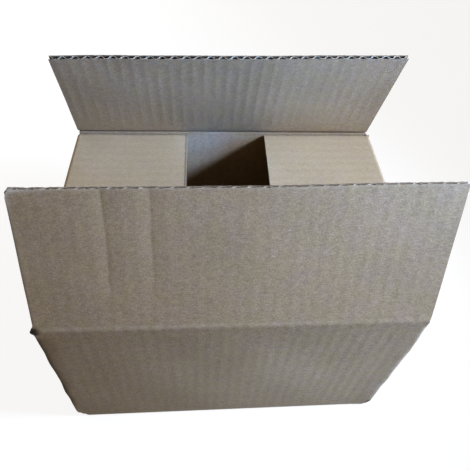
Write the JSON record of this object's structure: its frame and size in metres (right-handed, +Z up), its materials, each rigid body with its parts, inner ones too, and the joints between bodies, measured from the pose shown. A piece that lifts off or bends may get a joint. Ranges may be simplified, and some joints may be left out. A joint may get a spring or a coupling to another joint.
{
  "type": "cardboard box",
  "caption": "Plain corrugated carton with inner top flaps folded in and hinged outer top flaps standing half open.",
  "frame": {"origin": "middle of the underside, on the floor", "axes": "+X along the length, to the right seen from the front; +Y towards the back; +Z up"},
  "size_m": [0.2002, 0.15, 0.1908],
  "materials": {
    "board": "matte",
    "tape": "gloss"
  },
  "bodies": {
    "carton": {"carton": "board", "bottom_tape": "tape"},
    "front_flap": {"front_flap": "board"},
    "back_flap": {"back_flap": "board"}
  },
  "joints": [
    {"name": "front_crease", "type": "hinge", "parent": "carton", "child": "front_flap", "pos_m": [0, -0.07455, 0.12155], "axis": [1, 0, 0], "range_deg": [-67, 173]},
    {"name": "back_crease", "type": "hinge", "parent": "carton", "child": "back_flap", "pos_m": [0, 0.07455, 0.12155], "axis": [-1, 0, 0], "range_deg": [-69, 171]}
  ]
}
